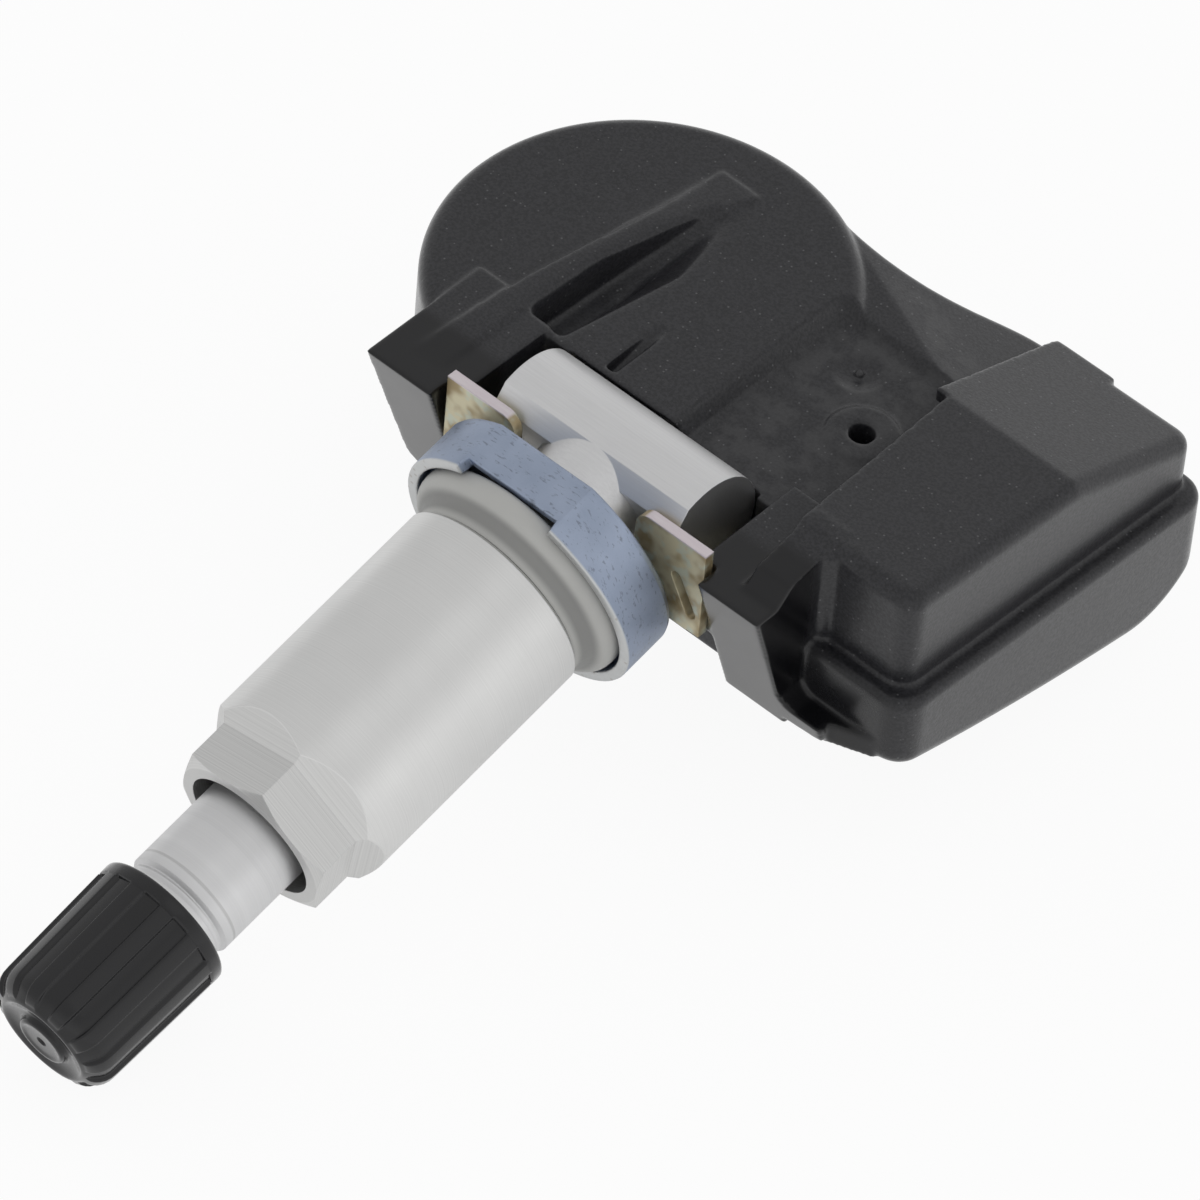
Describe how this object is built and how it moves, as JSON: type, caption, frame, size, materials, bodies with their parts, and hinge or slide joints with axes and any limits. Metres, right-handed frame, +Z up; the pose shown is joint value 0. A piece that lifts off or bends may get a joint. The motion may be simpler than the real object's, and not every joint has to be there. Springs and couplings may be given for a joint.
{
  "type": "tyre pressure sensor",
  "caption": "Tyre pressure sensor with a black moulded housing hinged on a clamp-in metal valve that has a sleeve nut, seal and screw cap.",
  "frame": {"origin": "on the valve axis, at the seat where the wheel rim is clamped between the grommet and the sleeve nut", "axes": "+X along the valve's cross bar, +Y from the cap towards the housing, +Z up through the housing's top"},
  "size_m": [0.0519, 0.0876, 0.0257],
  "materials": {
    "housing_plastic": "charcoal black moulded nylon with a fine grain",
    "potting": "black sealed cover",
    "board": "green board lacquer",
    "cell_steel": "nickel-plated steel can",
    "tab_metal": "thin nickel strip",
    "chip": "black moulded package",
    "inner_rubber": "black soft rubber",
    "ferrite": "dark grey ferrite",
    "winding": "enamelled copper wire",
    "crystal_can": "bright metal can",
    "capacitor_body": "ochre moulded body",
    "clip_metal": "yellow chromated spring steel",
    "stem_metal": "matt anodised aluminium",
    "ring_metal": "blue chromated zinc on steel",
    "grommet_rubber": "light warm grey rubber",
    "nut_metal": "turned aluminium with milled flats",
    "core_brass": "plain brass",
    "core_rubber": "dark red seal",
    "spring_steel": "drawn spring wire",
    "cap_plastic": "black satin moulded plastic"
  },
  "bodies": {
    "valve": {"valve_stem": "stem_metal", "cup_ring": "ring_metal", "sealing_grommet": "grommet_rubber", "core_body": "core_brass", "core_seal": "core_rubber", "core_spring": "spring_steel"},
    "housing": {"housing": "housing_plastic", "bottom_cover": "potting", "retaining_clip": "clip_metal", "circuit_board": "board", "battery_cell": "cell_steel", "battery_tab_positive": "tab_metal", "battery_tab_negative": "tab_metal", "sensor_chip": "chip", "port_gasket": "inner_rubber", "coil_core": "ferrite", "coil_winding": "winding", "crystal": "crystal_can", "capacitor": "capacitor_body"},
    "nut": {"sleeve_nut": "nut_metal"},
    "cap_disc": {"cap_seal": "inner_rubber"},
    "cap": {"valve_cap": "cap_plastic"},
    "core_pin": {"core_pin": "core_brass", "core_cup": "core_brass"}
  },
  "joints": [
    {"name": "housing_swivel", "type": "hinge", "parent": "valve", "child": "housing", "pos_m": [0, 0.01164, 0.0029], "axis": [1, 0, 0], "range_deg": [0, 25]},
    {"name": "nut_travel", "type": "slide", "parent": "valve", "child": "nut", "axis": [0, -0.9703, -0.2419], "range_m": [0, 0.007]},
    {"name": "cap_lift", "type": "slide", "parent": "valve", "child": "cap_disc", "axis": [0, -0.9703, -0.2419], "range_m": [0, 0.00476]},
    {"name": "cap_turn", "type": "hinge", "parent": "cap_disc", "child": "cap", "pos_m": [0, -0.03687, -0.00919], "axis": [0, -0.9703, -0.2419], "range_deg": [0, 2160]},
    {"name": "core_press", "type": "slide", "parent": "valve", "child": "core_pin", "axis": [0, 0.9703, 0.2419], "range_m": [0, 0.0012], "stiffness_N_per_m": 800, "springref_m": -0.0006, "deforming": ["core_spring"]}
  ],
  "couplings": [
    {"joint": "cap_turn", "follows": "cap_lift", "rad_per_m": 7913.3}
  ]
}
